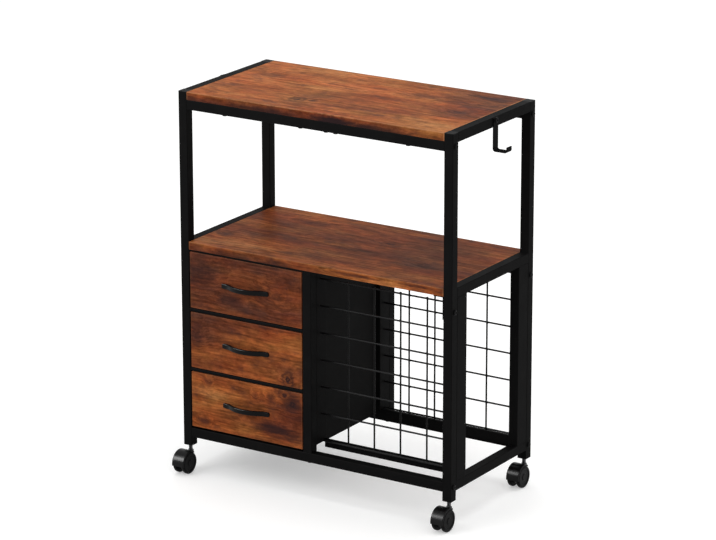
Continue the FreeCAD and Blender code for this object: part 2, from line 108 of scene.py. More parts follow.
def newGroup(name, inputs, outputs):
    group = bpy.data.node_groups.new(name, "ShaderNodeTree")
    for label, kind, value in inputs:
        socket = group.interface.new_socket(name=label, in_out="INPUT", socket_type=kind)
        if value is not None:
            socket.default_value = value
    for label, kind in outputs:
        group.interface.new_socket(name=label, in_out="OUTPUT", socket_type=kind)
    return group, addNode(group, "NodeGroupInput"), addNode(group, "NodeGroupOutput")


def useGroup(tree, group, sockets):
    return addNode(tree, "ShaderNodeGroup", sockets, node_tree=group)


def newMaterial(name):
    material = bpy.data.materials.new(name)
    material.use_nodes = True
    tree = material.node_tree
    shader = tree.nodes["Principled BSDF"]
    coords = addNode(tree, "ShaderNodeTexCoord").outputs["Object"]
    return material, tree, shader, coords


def bumpInto(tree, shader, height, strength, distance):
    bump = addNode(tree, "ShaderNodeBump", {"Height": height, "Strength": strength, "Distance": distance})
    tree.links.new(bump.outputs["Normal"], shader.inputs["Normal"])


# shared shader effects

grainLook = {
    "tones": [(0.00, (0.036, 0.0150, 0.0120)), (0.25, (0.096, 0.0300, 0.0180)),
              (0.50, (0.196, 0.0530, 0.0190)), (0.75, (0.330, 0.0980, 0.0270)),
              (1.00, (0.450, 0.1600, 0.0540))],
    "red": (1.04, 0.86, 0.80), "gold": (0.98, 1.14, 1.12),
    "age": (0.050, 0.0215, 0.0175), "stain": (0.021, 0.0110, 0.0120),
    "wander": 0.030, "wanderStretch": (3.0, 9.0, 9.0), "roundKnots": 0.012, "lineRelief": 0.7,
}
# layers of the grain: stretch along and across the board, offset, then the noise's own settings
grainLayers = {
    "broad": {"stretch": (3.2, 13.0, 13.0), "detail": 4.0, "roughness": 0.62},
    "lines": {"stretch": (7.0, 190.0, 190.0), "detail": 4.0, "roughness": 0.65},
    "fibres": {"stretch": (28.0, 900.0, 900.0), "detail": 2.0, "roughness": 0.6},
    "streaks": {"stretch": (5.0, 62.0, 62.0), "detail": 4.0, "roughness": 0.7, "distortion": 0.5},
    "cloud": {"stretch": (13.0, 24.0, 24.0), "offset": (3.1, 0.7, 1.9), "detail": 6.0, "roughness": 0.68},
    "mottle": {"stretch": (40.0, 74.0, 74.0), "offset": (1.7, 4.4, 2.3), "detail": 5.0, "roughness": 0.72},
    "warmth": {"stretch": (7.0, 16.0, 16.0), "offset": (8.2, 2.6, 5.5), "detail": 4.0, "roughness": 0.6},
}


def grainLayer(tree, vector, stretch, offset=(0.0, 0.0, 0.0), **settings):
    return noiseAt(tree, stretched(tree, vector, stretch, offset), 1.0, **settings)


def makeGrainGroup(look, layers):
    inputs = [("Vector", "NodeSocketVector", None), ("Tone", "NodeSocketFloat", 0.0),
              ("Stain", "NodeSocketFloat", 0.0), ("Knot", "NodeSocketFloat", 0.0)]
    outputs = [("Color", "NodeSocketColor"), ("Roughness", "NodeSocketFloat"), ("Height", "NodeSocketFloat")]
    group, start, end = newGroup("rusticGrain", inputs, outputs)
    place = start.outputs["Vector"]
    # the lines swing round knots and wander along the board
    swing = grainLayer(group, place, look["wanderStretch"], detail=2.0)
    swing = calc(group, "MULTIPLY", calc(group, "SUBTRACT", swing, 0.5), look["wander"])
    swing = calc(group, "ADD", swing, calc(group, "MULTIPLY", start.outputs["Knot"], look["roundKnots"]))
    lift = addNode(group, "ShaderNodeCombineXYZ", {1: swing, 2: swing}).outputs[0]
    warped = calcVector(group, "ADD", place, lift)
    layer = {name: grainLayer(group, warped, **settings) for name, settings in layers.items()}

    # each remap takes the part of a layer that is used, and what it comes to
    tone = calc(group, "ADD", remap(group, layer["broad"], 0.30, 0.70, 0.16, 0.74), start.outputs["Tone"])
    body = colorRamp(group, tone, look["tones"])
    hue = blendColors(group, remap(group, layer["warmth"], 0.36, 0.64, 0.0, 1.0), (*look["red"], 1.0),
                      (*look["gold"], 1.0))
    body = blendColors(group, 1.0, body, hue, "MULTIPLY")
    darkLine = remap(group, layer["lines"], 0.34, 0.62, 0.58, 1.20)
    fineLine = remap(group, layer["fibres"], 0.30, 0.70, 0.84, 1.14)
    longLine = remap(group, layer["streaks"], 0.30, 0.47, 0.64, 1.0)
    blotch = remap(group, layer["mottle"], 0.32, 0.68, 0.62, 1.30)
    shade = calc(group, "MULTIPLY", calc(group, "MULTIPLY", darkLine, fineLine), longLine)
    shade = calc(group, "MULTIPLY", shade, blotch)
    shadeColor = addNode(group, "ShaderNodeCombineXYZ", {0: shade, 1: shade, 2: shade}).outputs[0]
    body = blendColors(group, 1.0, body, shadeColor, "MULTIPLY")
    # grey-brown age marks, soft at their edges
    mark = remap(group, layer["cloud"], 0.54, 0.70, 0.0, 0.70)
    body = blendColors(group, mark, body, (*look["age"], 1.0))
    body = blendColors(group, start.outputs["Stain"], body, (*look["stain"], 1.0))
    group.links.new(body, end.inputs["Color"])

    rough = remap(group, layer["lines"], 0.30, 0.70, 0.54, 0.40)
    group.links.new(rough, end.inputs["Roughness"])
    coarse = calc(group, "MULTIPLY", layer["lines"], look["lineRelief"])
    fine = calc(group, "MULTIPLY", layer["fibres"], 1.0 - look["lineRelief"])
    group.links.new(calc(group, "ADD", coarse, fine), end.inputs["Height"])
    return group


spotLook = {"ragged": 0.9, "raggedStretch": (50.0, 120.0, 120.0), "core": 0.35, "swirlReach": 1.6,
            "ringTurn": 12.0, "ringSwing": 0.8, "ringFloor": 0.15}


def makeSpotGroup(look):
    # an oval mark: 1 in its middle, 0 at its rim, with a broken outline
    inputs = [("Vector", "NodeSocketVector", None), ("Centre", "NodeSocketVector", None),
              ("Size", "NodeSocketVector", None), ("Depth", "NodeSocketFloat", 0.6),
              ("Rings", "NodeSocketFloat", 0.0)]
    outputs = [("Mask", "NodeSocketFloat"), ("Swirl", "NodeSocketFloat")]
    group, start, end = newGroup("woodSpot", inputs, outputs)
    away = calcVector(group, "SUBTRACT", start.outputs["Vector"], start.outputs["Centre"])
    away = calcVector(group, "DIVIDE", away, start.outputs["Size"])
    reach = addNode(group, "ShaderNodeVectorMath", {0: away}, operation="LENGTH").outputs["Value"]
    ragged = grainLayer(group, start.outputs["Vector"], look["raggedStretch"], detail=4.0, roughness=0.65)
    ragged = calc(group, "MULTIPLY", calc(group, "SUBTRACT", ragged, 0.5), look["ragged"])
    reach = calc(group, "ADD", reach, ragged)
    swirl = remap(group, reach, 0.0, look["swirlReach"], 1.0, 0.0)
    mask = remap(group, reach, look["core"], 1.0, 1.0, 0.0)
    waves = calc(group, "SINE", calc(group, "MULTIPLY", reach, look["ringTurn"]))
    waves = remap(group, waves, -look["ringSwing"], look["ringSwing"], look["ringFloor"], 1.0)
    ringed = addNode(group, "ShaderNodeMix", {0: start.outputs["Rings"], 2: 1.0, 3: waves}).outputs[0]
    mask = calc(group, "MULTIPLY", calc(group, "MULTIPLY", mask, ringed), start.outputs["Depth"])
    group.links.new(mask, end.inputs["Mask"])
    group.links.new(swirl, end.inputs["Swirl"])
    return group


dustLook = {"color": (0.022, 0.0215, 0.021), "patches": 14.0, "from": 0.48, "to": 0.72,
            "smoother": -0.06, "rougher": 0.08}


def makeCoatGroup(look):
    # fine orange peel of a baked coat, with a little dust and handling sheen
    inputs = [("Vector", "NodeSocketVector", None), ("Base", "NodeSocketColor", (0.01, 0.01, 0.01, 1.0)),
              ("Peel", "NodeSocketFloat", 900.0), ("Rough", "NodeSocketFloat", 0.5),
              ("Dust", "NodeSocketFloat", 0.3)]
    outputs = [("Color", "NodeSocketColor"), ("Roughness", "NodeSocketFloat"), ("Height", "NodeSocketFloat")]
    group, start, end = newGroup("bakedCoat", inputs, outputs)
    peel = noiseAt(group, start.outputs["Vector"], start.outputs["Peel"], 2.0)
    wear = noiseAt(group, start.outputs["Vector"], look["patches"], 5.0, 0.65)
    dust = remap(group, wear, look["from"], look["to"], 0.0, 1.0)
    dust = calc(group, "MULTIPLY", dust, start.outputs["Dust"])
    color = blendColors(group, dust, start.outputs["Base"], (*look["color"], 1.0))
    group.links.new(color, end.inputs["Color"])
    rubbedShine = remap(group, wear, 0.3, 0.7, look["smoother"], look["rougher"])
    group.links.new(calc(group, "ADD", start.outputs["Rough"], rubbedShine), end.inputs["Roughness"])
    group.links.new(peel, end.inputs["Height"])
    return group


# colour of the arrises: a painted highlight where the edges catch the light, with some rubbed wear
arrisWearAndHighlightLook = {"width": 0.0026, "color": (0.52, 0.235, 0.105), "wornAndLitShare": 0.15, "breaks": (60.0, 60.0, 60.0),
            "faintest": 0.3}


def makeArrisWearAndHighlightGroup(look):
    # painted highlight along the arrises of a board between two corners, with some rubbed wear: the second
    # least depth is small only near an edge
    inputs = [("Vector", "NodeSocketVector", None), ("Low", "NodeSocketVector", None),
              ("High", "NodeSocketVector", None), ("Width", "NodeSocketFloat", 0.002)]
    group, start, end = newGroup("rubbedAndLitEdge", inputs, [("Mask", "NodeSocketFloat")])
    place = start.outputs["Vector"]
    fromLow = calcVector(group, "SUBTRACT", place, start.outputs["Low"])
    fromHigh = calcVector(group, "SUBTRACT", start.outputs["High"], place)
    depth = calcVector(group, "MINIMUM", fromLow, fromHigh)
    depths = addNode(group, "ShaderNodeSeparateXYZ", {0: depth}).outputs
    less = calc(group, "MINIMUM", depths[0], depths[1])
    more = calc(group, "MAXIMUM", depths[0], depths[1])
    second = calc(group, "MAXIMUM", less, calc(group, "MINIMUM", more, depths[2]))
    share = calc(group, "DIVIDE", second, start.outputs["Width"])
    broken = grainLayer(group, place, look["breaks"], detail=4.0, roughness=0.65)
    near = remap(group, share, look["wornAndLitShare"], 1.0, 1.0, 0.0)
    mask = calc(group, "MULTIPLY", near, remap(group, broken, 0.35, 0.6, look["faintest"], 1.0))
    group.links.new(mask, end.inputs["Mask"])
    return group


grainGroup = makeGrainGroup(grainLook, grainLayers)
spotGroup = makeSpotGroup(spotLook)
coatGroup = makeCoatGroup(dustLook)
arrisWearAndHighlightGroup = makeArrisWearAndHighlightGroup(arrisWearAndHighlightLook)
print("shader groups ready")


# finishes

peelDepth = 0.0004
coatLooks = {
    "framePaint": {"base": (0.0030, 0.0029, 0.0030), "peel": 1100.0, "rough": 0.58,
                   "dust": 0.10, "bump": 0.10, "spec": 0.025},
    "wirePaint": {"base": (0.0034, 0.0033, 0.0034), "peel": 1500.0, "rough": 0.38,
                  "dust": 0.10, "bump": 0.06, "spec": 0.07},
    "handlePaint": {"base": (0.0016, 0.0016, 0.0017), "peel": 1800.0, "rough": 0.20,
                    "dust": 0.03, "bump": 0.03, "spec": 0.08},
    "fastenerBlack": {"base": (0.0032, 0.0032, 0.0034), "peel": 2200.0, "rough": 0.42,
                      "dust": 0.12, "bump": 0.05, "spec": 0.06},
    "plugPlastic": {"base": (0.0046, 0.0046, 0.0048), "peel": 2600.0, "rough": 0.55,
                    "dust": 0.16, "bump": 0.10, "spec": 0.06},
    "casterPlastic": {"base": (0.0022, 0.0022, 0.0024), "peel": 700.0, "rough": 0.26,
                      "dust": 0.04, "bump": 0.03, "spec": 0.12},
    "wheelPlastic": {"base": (0.0026, 0.0026, 0.0028), "peel": 500.0, "rough": 0.34,
                     "dust": 0.06, "bump": 0.05, "spec": 0.045},
    "panelBoard": {"base": (0.0034, 0.0033, 0.0033), "peel": 420.0, "rough": 0.62,
                   "dust": 0.14, "bump": 0.16, "spec": 0.035},
    "baseBoard": {"base": (0.0120, 0.0120, 0.0125), "peel": 520.0, "rough": 0.66,
                  "dust": 0.55, "bump": 0.22, "spec": 0.10},
}


def makeCoat(name):
    look = coatLooks[name]
    material, tree, shader, coords = newMaterial(name)
    coat = useGroup(tree, coatGroup, {"Vector": coords, "Base": (*look["base"], 1.0), "Peel": look["peel"],
                                      "Rough": look["rough"], "Dust": look["dust"]})
    tree.links.new(coat.outputs["Color"], shader.inputs["Base Color"])
    tree.links.new(coat.outputs["Roughness"], shader.inputs["Roughness"])
    shader.inputs["Specular IOR Level"].default_value = look["spec"]
    bumpInto(tree, shader, coat.outputs["Height"], look["bump"], peelDepth)
    return material


# marks on the wood: centre and half sizes in metres, darkness, how ringed they are
# tones lift or sink a broad area; edge marks give all three directions
throughout = 9.0  # a half size that runs right through a board
frontMarks = [
    {"at": (-0.068, 0.264), "size": (0.022, 0.030), "depth": 0.95, "rings": 0.9},
    {"at": (-0.078, 0.228), "size": (0.024, 0.020), "depth": 0.92, "rings": 0.8},
    {"at": (-0.056, 0.209), "size": (0.031, 0.025), "depth": 0.96, "rings": 0.2},
    {"at": (-0.113, 0.212), "size": (0.017, 0.017), "depth": 0.64, "rings": 0.2},
    {"at": (-0.155, 0.211), "size": (0.011, 0.014), "depth": 0.42, "rings": 0.0},
    {"at": (-0.104, 0.143), "size": (0.074, 0.021), "depth": 0.88, "rings": 0.0},
    {"at": (-0.062, 0.132), "size": (0.062, 0.019), "depth": 0.72, "rings": 0.2},
    {"at": (-0.279, 0.219), "size": (0.013, 0.019), "depth": 0.42, "rings": 0.0},
    {"at": (-0.294, 0.127), "size": (0.021, 0.013), "depth": 0.66, "rings": 0.0},
    {"at": (-0.312, 0.332), "size": (0.024, 0.036), "depth": 0.50, "rings": 0.0},
    {"at": (-0.299, 0.471), "size": (0.060, 0.036), "depth": 0.56, "rings": 0.2},
    {"at": (-0.222, 0.422), "size": (0.044, 0.016), "depth": 0.52, "rings": 0.0},
    {"at": (-0.095, 0.450), "size": (0.046, 0.034), "depth": 0.40, "rings": 1.0},
]
frontTones = [
    {"at": (-0.180, 0.452), "size": (0.30, 0.075), "lift": -0.20},
    {"at": (-0.280, 0.313), "size": (0.15, 0.075), "lift": -0.06},
    {"at": (-0.100, 0.315), "size": (0.13, 0.065), "lift": 0.26},
    {"at": (-0.225, 0.180), "size": (0.21, 0.085), "lift": 0.38},
    {"at": (-0.040, 0.165), "size": (0.07, 0.085), "lift": -0.13},
]
topMarks = [
    {"at": (-0.086, -0.076), "size": (0.026, 0.030), "depth": 0.95, "rings": 0.75},
    {"at": (-0.052, -0.070), "size": (0.016, 0.012), "depth": 0.60, "rings": 0.0},
    {"at": (-0.250, 0.075), "size": (0.045, 0.022), "depth": 0.60, "rings": 0.5},
    {"at": (0.120, 0.090), "size": (0.060, 0.024), "depth": 0.52, "rings": 0.3},
    {"at": (0.262, 0.010), "size": (0.034, 0.018), "depth": 0.62, "rings": 0.6},
    {"at": (0.272, 0.150), "size": (0.070, 0.017), "depth": 0.70, "rings": 0.0},
    {"at": (0.300, 0.092), "size": (0.046, 0.014), "depth": 0.55, "rings": 0.2},
    {"at": (-0.126, -0.152, 0.863), "size": (0.095, 0.006, 0.011), "depth": 0.62, "rings": 0.0},
    {"at": (0.050, -0.152, 0.865), "size": (0.075, 0.006, 0.015), "depth": 0.96, "rings": 0.0},
    {"at": (0.145, -0.152, 0.862), "size": (0.070, 0.006, 0.010), "depth": 0.72, "rings": 0.0},
]
topTones = [
    {"at": (-0.215, -0.110), "size": (0.14, 0.060), "lift": 0.16},
    {"at": (-0.335, -0.020), "size": (0.06, 0.080), "lift": -0.10},
    {"at": (0.050, -0.125), "size": (0.12, 0.050), "lift": 0.14},
    {"at": (0.270, -0.100), "size": (0.08, 0.070), "lift": 0.12},
    # darker right rear: painted shadow of the machine that stands there, partly darker grain
    {"at": (0.300, 0.115), "size": (0.13, 0.120), "lift": -0.46},
    # painted shade, partly darker wood: the front strip and the lower half of the front edge darker than the
    # top
    {"at": (0.0, -0.157), "size": (throughout, 0.009), "lift": -0.20},
    {"at": (0.0, -0.153, 0.862), "size": (throughout, 0.005, 0.012), "lift": -0.44},
    {"at": (0.300, -0.157), "size": (0.07, 0.009), "lift": 0.30},
]
shelfMarks = [
    {"at": (-0.292, -0.060), "size": (0.026, 0.018), "depth": 0.60, "rings": 0.3},
    {"at": (-0.100, -0.108), "size": (0.034, 0.012), "depth": 0.62, "rings": 0.0},
    {"at": (0.060, 0.070), "size": (0.038, 0.026), "depth": 0.66, "rings": 0.8},
    {"at": (0.225, -0.030), "size": (0.050, 0.020), "depth": 0.52, "rings": 0.3},
    {"at": (-0.180, 0.120), "size": (0.060, 0.020), "depth": 0.48, "rings": 0.2},
    {"at": (-0.215, -0.152, 0.523), "size": (0.080, 0.006, 0.010), "depth": 0.25, "rings": 0.0},
    {"at": (0.110, -0.152, 0.531), "size": (0.085, 0.006, 0.005), "depth": 0.72, "rings": 0.2},
    {"at": (0.262, -0.152, 0.533), "size": (0.070, 0.006, 0.004), "depth": 0.62, "rings": 0.0},
]
shelfTones = [
    {"at": (-0.210, -0.110), "size": (0.16, 0.055), "lift": 0.36},
    {"at": (0.160, 0.060), "size": (0.16, 0.090), "lift": -0.08},
    {"at": (0.200, -0.157), "size": (0.22, 0.012), "lift": 0.20},
    # painted shade, partly darker wood: the lower half of the front edge darker than the top
    {"at": (0.0, -0.153, 0.522), "size": (throughout, 0.005, 0.012), "lift": -0.30},
    {"at": (0.230, -0.153, 0.522), "size": (0.14, 0.005, 0.010), "lift": 0.42},
]
# the lower corner of the painted arris highlight and wear drops below a flat board, so that only the upper
# arrises are lit and the lower arris stays dark
woodPlan = {
    "top_board": {"upright": False, "tone": 0.22, "marks": topMarks, "tones": topTones, "wear": 0.70,
                  "rubDrop": 0.05},
    "middle_shelf": {"upright": False, "tone": 0.10, "marks": shelfMarks, "tones": shelfTones, "wear": 0.42,
                     "rubDrop": 0.05},
}
for drawer in ("bottom", "middle", "top"):
    woodPlan[drawer + "_drawer_front"] = {"upright": True, "tone": 0.0, "marks": frontMarks,
                                          "tones": frontTones, "wear": 0.12, "rubDrop": 0.0}
woodGloss = {"specular": 0.02, "bump": 0.16, "bumpDepth": 0.0006}


def spanOf(mark, upright):
    # upright marks lie in X and Z, flat ones in X and Y, and both run right through the board
    if len(mark["at"]) == 3:
        return mark["at"], mark["size"]
    along, across = mark["at"]
    wide, tall = mark["size"]
    if upright:
        return (along, 0.0, across), (wide, throughout, tall)
    return (along, across, 0.0), (wide, tall, throughout)


def spotOn(tree, coords, mark, upright, depth, rings):
    centre, size = spanOf(mark, upright)
    return useGroup(tree, spotGroup, {"Vector": coords, "Centre": centre, "Size": size,
                                      "Depth": depth, "Rings": rings})


def reaches(mark, low, high, upright):
    # whether a mark comes near a board
    centre, size = spanOf(mark, upright)
    return all(low[axis] - 2 * size[axis] < centre[axis] < high[axis] + 2 * size[axis] for axis in range(3))


def makeWood(node, plan):
    material, tree, shader, coords = newMaterial(node + "Wood")
    low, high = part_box(node)
    upright = plan["upright"]
    stain = 0.0
    swirl = 0.0
    for mark in plan["marks"]:
        if reaches(mark, low, high, upright):
            spot = spotOn(tree, coords, mark, upright, mark["depth"], mark["rings"])
            stain = calc(tree, "MAXIMUM", stain, spot.outputs["Mask"])
            swirl = calc(tree, "MAXIMUM", swirl, spot.outputs["Swirl"])
    shift = plan["tone"]
    for area in plan["tones"]:
        if reaches(area, low, high, upright):
            soft = spotOn(tree, coords, area, upright, 1.0, 0.0).outputs["Swirl"]
            shift = calc(tree, "ADD", calc(tree, "MULTIPLY", soft, area["lift"]), shift)
    grain = useGroup(tree, grainGroup, {"Vector": coords, "Tone": shift, "Stain": stain, "Knot": swirl})
    # a painted highlight along the arrises, with some rubbed wear, lightens the grain
    wearAndHighlightLow = (low[0], low[1], low[2] - plan["rubDrop"])
    rubbedShine = useGroup(tree, arrisWearAndHighlightGroup, {"Vector": coords, "Low": wearAndHighlightLow, "High": high,
                                        "Width": arrisWearAndHighlightLook["width"]})
    rubbedShine = calc(tree, "MULTIPLY", rubbedShine.outputs["Mask"], plan["wear"])
    color = blendColors(tree, rubbedShine, grain.outputs["Color"], (*arrisWearAndHighlightLook["color"], 1.0))
    tree.links.new(color, shader.inputs["Base Color"])
    tree.links.new(grain.outputs["Roughness"], shader.inputs["Roughness"])
    shader.inputs["Specular IOR Level"].default_value = woodGloss["specular"]
    bumpInto(tree, shader, grain.outputs["Height"], woodGloss["bump"], woodGloss["bumpDepth"])
    return material


fabricLook = {"base": (0.0105, 0.0105, 0.0112), "pale": (0.026, 0.026, 0.027), "dimple": 0.0022,
              "jitter": 0.12, "fibre": (1600.0, 1600.0, 700.0), "crease": 26.0, "creaseShade": 0.45,
              "pressed": 0.72, "fluffy": 0.92, "dotRelief": 0.7, "specular": 0.25, "sheen": 0.25,
              "sheenRough": 0.5, "bump": 0.55, "bumpDepth": 0.0005}


def makeFabric(name, look):
    # spun-bond cloth: a lattice of tiny pressed dots over random fibres
    material, tree, shader, coords = newMaterial(name)
    uvs = addNode(tree, "ShaderNodeUVMap", uv_map="clothMap").outputs[0]
    grid = addNode(tree, "ShaderNodeVectorMath", {0: uvs, "Scale": 1.0 / look["dimple"]}, operation="SCALE")
    cells = addNode(tree, "ShaderNodeTexVoronoi",
                    {"Vector": grid.outputs[0], "Scale": 1.0, "Randomness": look["jitter"]})
    dots = remap(tree, cells.outputs["Distance"], 0.18, 0.42, 0.0, 1.0)
    fibres = grainLayer(tree, coords, look["fibre"], detail=3.0, roughness=0.7)
    creases = noiseAt(tree, coords, look["crease"], 4.0, 0.6)
    creases = remap(tree, creases, 0.35, 0.7, 0.0, look["creaseShade"])
    color = blendColors(tree, fibres, (*look["base"], 1.0), (*look["pale"], 1.0))
    color = blendColors(tree, creases, color, (*look["base"], 1.0))
    tree.links.new(color, shader.inputs["Base Color"])
    rough = remap(tree, dots, 0.0, 1.0, look["pressed"], look["fluffy"])
    tree.links.new(rough, shader.inputs["Roughness"])
    raised = calc(tree, "MULTIPLY", dots, look["dotRelief"])
    fuzz = calc(tree, "MULTIPLY", fibres, 1.0 - look["dotRelief"])
    shader.inputs["Specular IOR Level"].default_value = look["specular"]
    shader.inputs["Sheen Weight"].default_value = look["sheen"]
    shader.inputs["Sheen Roughness"].default_value = look["sheenRough"]
    bumpInto(tree, shader, calc(tree, "ADD", raised, fuzz), look["bump"], look["bumpDepth"])
    return material


threadLook = {"base": (0.030, 0.030, 0.032), "shade": (0.014, 0.014, 0.015), "twist": 2600.0,
              "smooth": 0.55, "fuzzy": 0.75, "bump": 0.3, "bumpDepth": 0.0002}


def makeThread(name, look):
    material, tree, shader, coords = newMaterial(name)
    plies = noiseAt(tree, coords, look["twist"], 2.0)
    color = blendColors(tree, plies, (*look["shade"], 1.0), (*look["base"], 1.0))
    tree.links.new(color, shader.inputs["Base Color"])
    rough = remap(tree, plies, 0.3, 0.7, look["smooth"], look["fuzzy"])
    tree.links.new(rough, shader.inputs["Roughness"])
    bumpInto(tree, shader, plies, look["bump"], look["bumpDepth"])
    return material


zincLook = {"dull": (0.050, 0.050, 0.053), "bright": (0.110, 0.110, 0.114), "turning": (60.0, 60.0, 2600.0),
            "haze": 240.0, "smooth": 0.30, "rough": 0.46, "bump": 0.08, "bumpDepth": 0.0002}


def makeZinc(name, look):
    # zinc-plated pins and stems
    material, tree, shader, coords = newMaterial(name)
    turned = grainLayer(tree, coords, look["turning"], detail=3.0)
    haze = noiseAt(tree, coords, look["haze"], 4.0)
    color = blendColors(tree, haze, (*look["dull"], 1.0), (*look["bright"], 1.0))
    tree.links.new(color, shader.inputs["Base Color"])
    rough = remap(tree, turned, 0.3, 0.7, look["smooth"], look["rough"])
    tree.links.new(rough, shader.inputs["Roughness"])
    shader.inputs["Metallic"].default_value = 1.0
    bumpInto(tree, shader, turned, look["bump"], look["bumpDepth"])
    return material


finishes = {name: makeCoat(name) for name in coatLooks}
finishes.update({node: makeWood(node, plan) for node, plan in woodPlan.items()})
finishes["binCloth"] = makeFabric("binCloth", fabricLook)
finishes["binThread"] = makeThread("binThread", threadLook)
finishes["zincSteel"] = makeZinc("zincSteel", zincLook)
slotFinish = {
    "frame_paint": "framePaint", "wire_paint": "wirePaint", "panel_board": "panelBoard",
    "bin_fabric": "baseBoard", "base_board": "baseBoard", "handle_metal": "handlePaint",
    "fastener_steel": "fastenerBlack", "plug_plastic": "plugPlastic", "caster_plastic": "casterPlastic",
    "wheel_plastic": "wheelPlastic", "axle_steel": "zincSteel",
}
for subpart in frame["record"]["subparts"]:
    name = subpart["node"]
    finish = name if name in woodPlan else slotFinish[subpart["material_slot"]]
    nodes[name].data.materials.clear()
    nodes[name].data.materials.append(finishes[finish])
print("finishes on", len(nodes), "nodes")


# sewn drawer bins

binShape = {"wall": 0.002, "corner": 0.010, "innerCorner": 0.0015, "sideSteps": 30, "cornerSteps": 6,
            "heightSteps": 12, "bow": 0.0045, "belly": 0.0014, "pucker": 0.0007, "clear": 0.0006,
            "rimSag": 0.0022, "sagCurve": 3, "footRise": 0.0012, "footInset": 0.006, "bowCurve": 2.2,
            "bellyReach": 1.15, "fineWave": (41.0, 9.0), "broadWave": (17.0, -23.0), "broadShare": 0.6}
tapeShape = {"drop": 0.011, "proud": 0.0007, "fold": 0.0012, "tuck": 0.0008, "skin": 0.0001,
             "crownIn": 0.3, "crownUp": 0.7}
stitchShape = {"gap": 0.0052, "length": 0.0034, "radius": 0.00042, "sides": 6,
               "seamLift": 0.0002, "seamSteps": 12, "seamFrom": 0.05, "seamTo": 0.89, "rimShare": 0.78}


def binOutline(low, high, shape, inset):
    # round-cornered loop, anticlockwise from the middle of the front, with how far along each side a point is
    radius = max(shape["corner"] - inset, shape["innerCorner"])
    left, right = low.x + inset, high.x - inset
    front, back = low.y + inset, high.y - inset
    corners = [(right - radius, front + radius, -90), (right - radius, back - radius, 0),
               (left + radius, back - radius, 90), (left + radius, front + radius, 180)]
    sides = [(Vector((left + radius, front)), Vector((right - radius, front)), Vector((0, -1))),
             (Vector((right, front + radius)), Vector((right, back - radius)), Vector((1, 0))),
             (Vector((right - radius, back)), Vector((left + radius, back)), Vector((0, 1))),
             (Vector((left, back - radius)), Vector((left, front + radius)), Vector((-1, 0)))]
    loop = []
    for index, (first, last, outward) in enumerate(sides):
        for step in range(shape["sideSteps"]):
            along = step / shape["sideSteps"]
            loop.append((first.lerp(last, along), outward, along, index))
        x, y, turn = corners[index]
        for step in range(shape["cornerSteps"]):
            angle = math.radians(turn + 90.0 * step / shape["cornerSteps"])
            outward = Vector((math.cos(angle), math.sin(angle)))
            loop.append((Vector((x, y)) + outward * radius, outward, 0.0, -1))
    return loop


def clothPoint(entry, rise, height, shape):
    # walls relax inwards at the rim and belly out a little below it; the front wall is held flat
    spot, outward, along, side = entry
    push = 0.0
    if side in (1, 2, 3):
        middle = math.sin(math.pi * along)
        share = rise / height
        push -= shape["bow"] * middle * share ** shape["bowCurve"]
        push += shape["belly"] * middle * math.sin(math.pi * min(share * shape["bellyReach"], 1.0))
        across, upward = shape["fineWave"]
        push += shape["pucker"] * middle * math.sin(across * along + upward * share + side) * share
        across, upward = shape["broadWave"]
        wave = math.sin(across * along + upward * share + 2.0 * side)
        push += shape["pucker"] * shape["broadShare"] * middle * wave
    return Vector((spot.x + outward.x * push, spot.y + outward.y * push))


def addRing(mesh, points, z):
    return [mesh.verts.new((point.x, point.y, level)) for point, level in zip(points, z)]


def bridgeRings(mesh, lower, upper):
    count = len(lower)
    for index in range(count):
        after = (index + 1) % count
        mesh.faces.new((lower[index], lower[after], upper[after], upper[index]))


def rimDip(entry, shape):
    # the rim hangs a little between corners
    return shape["rimSag"] * math.sin(math.pi * entry[2]) if entry[3] in (1, 2, 3) else 0.0


def mapCloth(mesh, hasFloor):
    # the weave lies flat on each wall, and on the floor where there is one
    clothMap = mesh.loops.layers.uv.new("clothMap")
    for face in mesh.faces:
        flat = hasFloor and abs(face.normal.z) > 0.7
        sideways = abs(face.normal.x) > abs(face.normal.y)
        for loop in face.loops:
            place = loop.vert.co
            across = place.y if sideways and not flat else place.x
            loop[clothMap].uv = (across, place.y if flat else place.z)


def sewBin(name, low, high, shape):
    mesh = bmesh.new()
    outer = binOutline(low, high, shape, shape["clear"])
    inner = binOutline(low, high, shape, shape["clear"] + shape["wall"])
    height = high.z - low.z
    floor = low.z + shape["wall"]
    rings = []
    shrunk = binOutline(low, high, shape, shape["clear"] + shape["footInset"])
    rings.append(addRing(mesh, [entry[0] for entry in shrunk], [low.z] * len(shrunk)))
    for loop, start, levels in ((outer, low.z + shape["footRise"], range(shape["heightSteps"] + 1)),
                                (inner, floor, reversed(range(shape["heightSteps"] + 1)))):
        for level in levels:
            share = level / shape["heightSteps"]
            top = high.z - shape["clear"]
            points = [clothPoint(entry, share * height, height, shape) for entry in loop]
            sag = share ** shape["sagCurve"]
            rise = [start + (top - start) * share - rimDip(entry, shape) * sag for entry in loop]
            rings.append(addRing(mesh, points, rise))
    for lower, upper in zip(rings, rings[1:]):
        bridgeRings(mesh, lower, upper)
    mesh.faces.new(list(reversed(rings[0])))
    mesh.faces.new(rings[-1])
    bmesh.ops.triangulate(mesh, faces=[face for face in mesh.faces if len(face.verts) > 4])
    bmesh.ops.recalc_face_normals(mesh, faces=mesh.faces)
    mapCloth(mesh, True)
    return finishMesh(mesh, name, finishes["binCloth"])


def finishMesh(mesh, name, material, smooth=True):
    data = bpy.data.meshes.new(name)
    mesh.to_mesh(data)
    mesh.free()
    for face in data.polygons:
        face.use_smooth = smooth
    data.materials.append(material)
    made = bpy.data.objects.new(name, data)
    bpy.context.collection.objects.link(made)
    return made


def rimPath(low, high, shape, inset, drop):
    # points along the rim, at a depth below its edge
    height = high.z - low.z
    path = []
    for entry in binOutline(low, high, shape, shape["clear"] + inset):
        share = 1.0 - drop / height
        spot = clothPoint(entry, share * height, height, shape)
        level = high.z - shape["clear"] - drop - rimDip(entry, shape)
        path.append((spot, entry[1], level))
    return path


